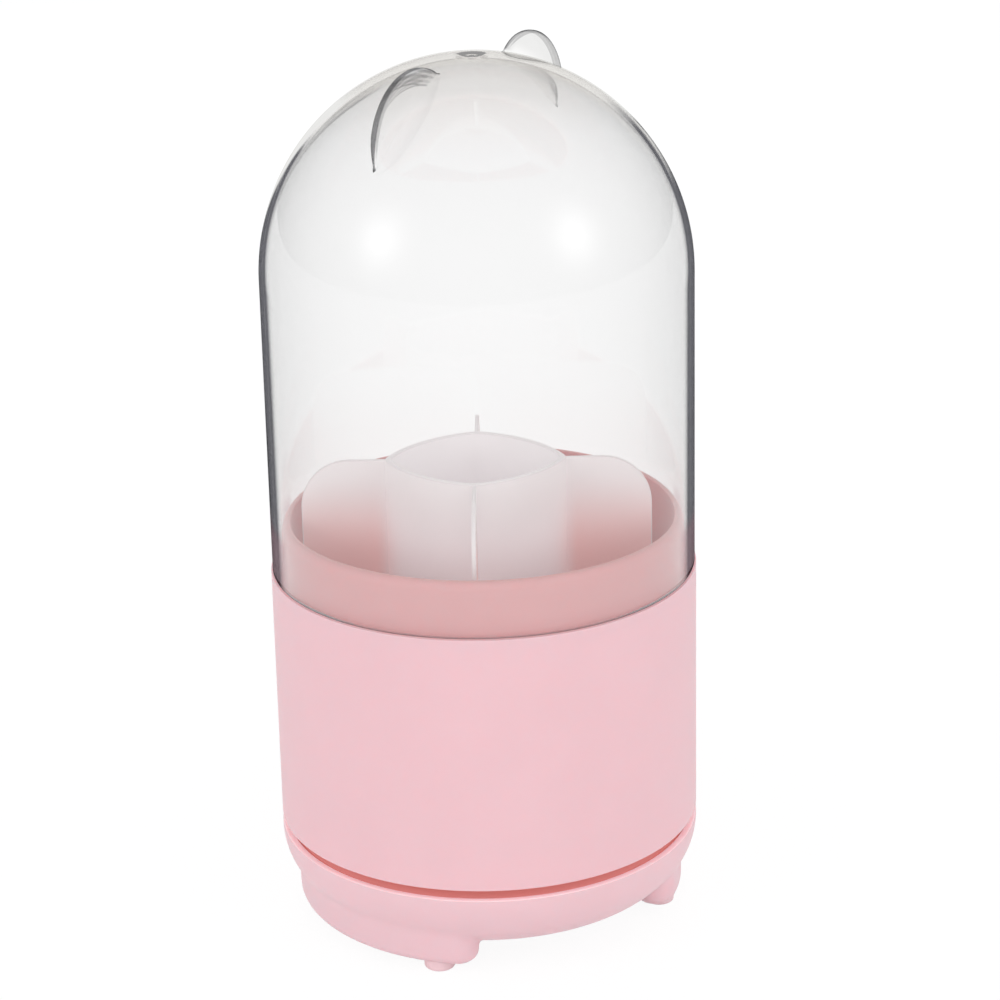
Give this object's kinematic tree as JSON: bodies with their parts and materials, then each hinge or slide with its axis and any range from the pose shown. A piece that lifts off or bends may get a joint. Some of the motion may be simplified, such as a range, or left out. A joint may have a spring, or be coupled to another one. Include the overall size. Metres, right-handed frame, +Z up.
{
  "type": "rotating makeup brush organizer",
  "caption": "Rotating makeup brush organizer: clear domed lid with ears, pink bucket with a loose chambered divider, on a footed turntable base.",
  "frame": {"origin": "on the ground, under the turning axis", "axes": "+Z up along the turning axis, +Y away from the viewer of the picture, +X to the viewer's right"},
  "size_m": [0.115, 0.115, 0.2388],
  "materials": {
    "pink_plastic": "satin moulded pink plastic",
    "pad_rubber": "soft matte pink pad",
    "frosted_white_plastic": "translucent whitish plastic",
    "bearing_plastic": "natural plastic",
    "clear_plastic": "polished clear plastic",
    "steel": "bright steel"
  },
  "bodies": {
    "base": {"base_bowl": "pink_plastic", "base_deck": "pink_plastic", "foot_pad_1": "pad_rubber", "foot_pad_2": "pad_rubber", "foot_pad_3": "pad_rubber", "foot_pad_4": "pad_rubber", "deck_screw_1": "steel", "deck_screw_2": "steel", "deck_screw_3": "steel", "deck_screw_4": "steel", "axle": "steel", "retaining_washer": "steel", "retaining_screw": "steel"},
    "bearing": {"ball_cage": "bearing_plastic", "bearing_ball_1": "steel", "bearing_ball_2": "steel", "bearing_ball_3": "steel", "bearing_ball_4": "steel", "bearing_ball_5": "steel", "bearing_ball_6": "steel", "bearing_ball_7": "steel", "bearing_ball_8": "steel"},
    "cup": {"turntable_plate": "bearing_plastic", "cup_shell": "pink_plastic", "cup_bucket": "pink_plastic", "cup_screw_1": "steel", "cup_screw_2": "steel", "cup_screw_3": "steel"},
    "divider": {"brush_divider": "frosted_white_plastic"},
    "lid": {"dome_lid": "clear_plastic"}
  },
  "joints": [
    {"name": "turntable_spin", "type": "hinge", "parent": "base", "child": "cup", "pos_m": [0, 0, 0.02965], "axis": [0, 0, 1], "continuous": true},
    {"name": "bearing_spin", "type": "hinge", "parent": "base", "child": "bearing", "pos_m": [0, 0, 0.02697], "axis": [0, 0, 1], "continuous": true},
    {"name": "divider_lift", "type": "slide", "parent": "cup", "child": "divider", "axis": [0, 0, 1], "range_m": [0, 0.08]},
    {"name": "lid_lift", "type": "slide", "parent": "cup", "child": "lid", "axis": [0, 0, 1], "range_m": [0, 0.15]}
  ],
  "couplings": [
    {"joint": "bearing_spin", "follows": "turntable_spin", "ratio": 0.5}
  ]
}
